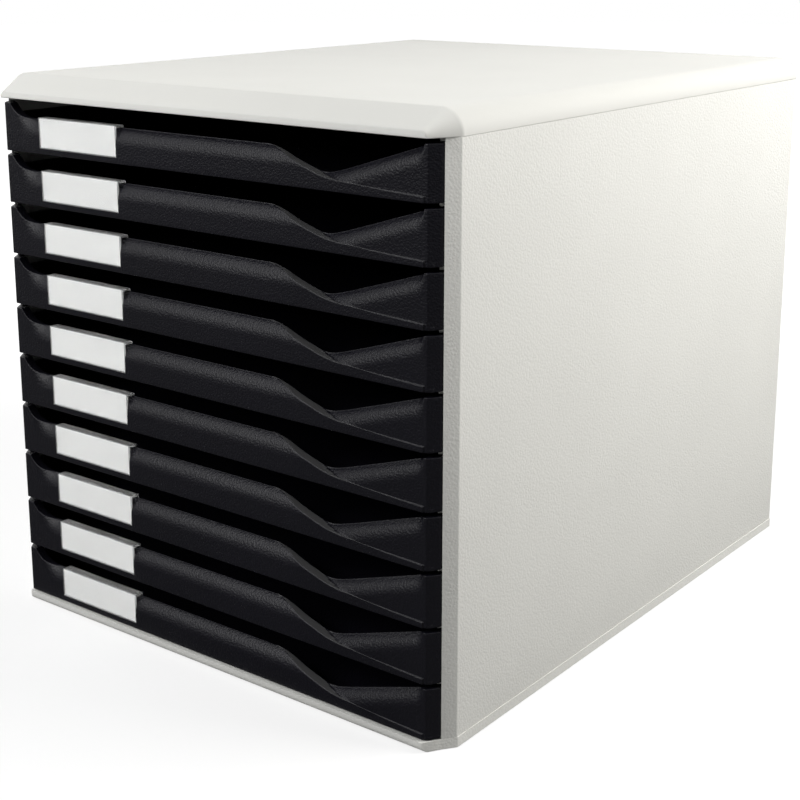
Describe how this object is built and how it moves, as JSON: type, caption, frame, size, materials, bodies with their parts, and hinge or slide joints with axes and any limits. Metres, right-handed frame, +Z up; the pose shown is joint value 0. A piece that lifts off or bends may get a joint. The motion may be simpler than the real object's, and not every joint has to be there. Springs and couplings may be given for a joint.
{
  "type": "desktop drawer unit",
  "caption": "Free-standing desktop cabinet with a stack of shallow sliding drawers for A4 paper, each with a labelled front and a dipped grip.",
  "frame": {"origin": "middle of the underside, on the surface that the unit stands on", "axes": "+Z up, +X to the right as seen from the front, drawers open towards -Y"},
  "size_m": [0.291, 0.352, 0.291],
  "materials": {
    "cabinet_plastic": "fine leather grain, warm light grey",
    "drawer_plastic": "near-black, fine leather grain with a soft sheen",
    "holder_clear": "clear, smooth",
    "label_card": "plain white card",
    "foot_rubber": "matt black pads"
  },
  "bodies": {
    "cabinet": {"top_cover": "cabinet_plastic", "base": "cabinet_plastic", "feet": "foot_rubber", "left_side_panel": "cabinet_plastic", "right_side_panel": "cabinet_plastic", "rear_panel": "cabinet_plastic"},
    "drawer_01": {"drawer_01": "drawer_plastic", "label_holder_01": "holder_clear", "label_card_01": "label_card"},
    "drawer_02": {"drawer_02": "drawer_plastic", "label_holder_02": "holder_clear", "label_card_02": "label_card"},
    "drawer_03": {"drawer_03": "drawer_plastic", "label_holder_03": "holder_clear", "label_card_03": "label_card"},
    "drawer_04": {"drawer_04": "drawer_plastic", "label_holder_04": "holder_clear", "label_card_04": "label_card"},
    "drawer_05": {"drawer_05": "drawer_plastic", "label_holder_05": "holder_clear", "label_card_05": "label_card"},
    "drawer_06": {"drawer_06": "drawer_plastic", "label_holder_06": "holder_clear", "label_card_06": "label_card"},
    "drawer_07": {"drawer_07": "drawer_plastic", "label_holder_07": "holder_clear", "label_card_07": "label_card"},
    "drawer_08": {"drawer_08": "drawer_plastic", "label_holder_08": "holder_clear", "label_card_08": "label_card"},
    "drawer_09": {"drawer_09": "drawer_plastic", "label_holder_09": "holder_clear", "label_card_09": "label_card"},
    "drawer_10": {"drawer_10": "drawer_plastic", "label_holder_10": "holder_clear", "label_card_10": "label_card"}
  },
  "joints": [
    {"name": "drawer_01_slide", "type": "slide", "parent": "cabinet", "child": "drawer_01", "axis": [0, -1, 0], "range_m": [0, 0.24]},
    {"name": "drawer_02_slide", "type": "slide", "parent": "cabinet", "child": "drawer_02", "axis": [0, -1, 0], "range_m": [0, 0.24]},
    {"name": "drawer_03_slide", "type": "slide", "parent": "cabinet", "child": "drawer_03", "axis": [0, -1, 0], "range_m": [0, 0.24]},
    {"name": "drawer_04_slide", "type": "slide", "parent": "cabinet", "child": "drawer_04", "axis": [0, -1, 0], "range_m": [0, 0.24]},
    {"name": "drawer_05_slide", "type": "slide", "parent": "cabinet", "child": "drawer_05", "axis": [0, -1, 0], "range_m": [0, 0.24]},
    {"name": "drawer_06_slide", "type": "slide", "parent": "cabinet", "child": "drawer_06", "axis": [0, -1, 0], "range_m": [0, 0.24]},
    {"name": "drawer_07_slide", "type": "slide", "parent": "cabinet", "child": "drawer_07", "axis": [0, -1, 0], "range_m": [0, 0.24]},
    {"name": "drawer_08_slide", "type": "slide", "parent": "cabinet", "child": "drawer_08", "axis": [0, -1, 0], "range_m": [0, 0.24]},
    {"name": "drawer_09_slide", "type": "slide", "parent": "cabinet", "child": "drawer_09", "axis": [0, -1, 0], "range_m": [0, 0.24]},
    {"name": "drawer_10_slide", "type": "slide", "parent": "cabinet", "child": "drawer_10", "axis": [0, -1, 0], "range_m": [0, 0.24]}
  ]
}
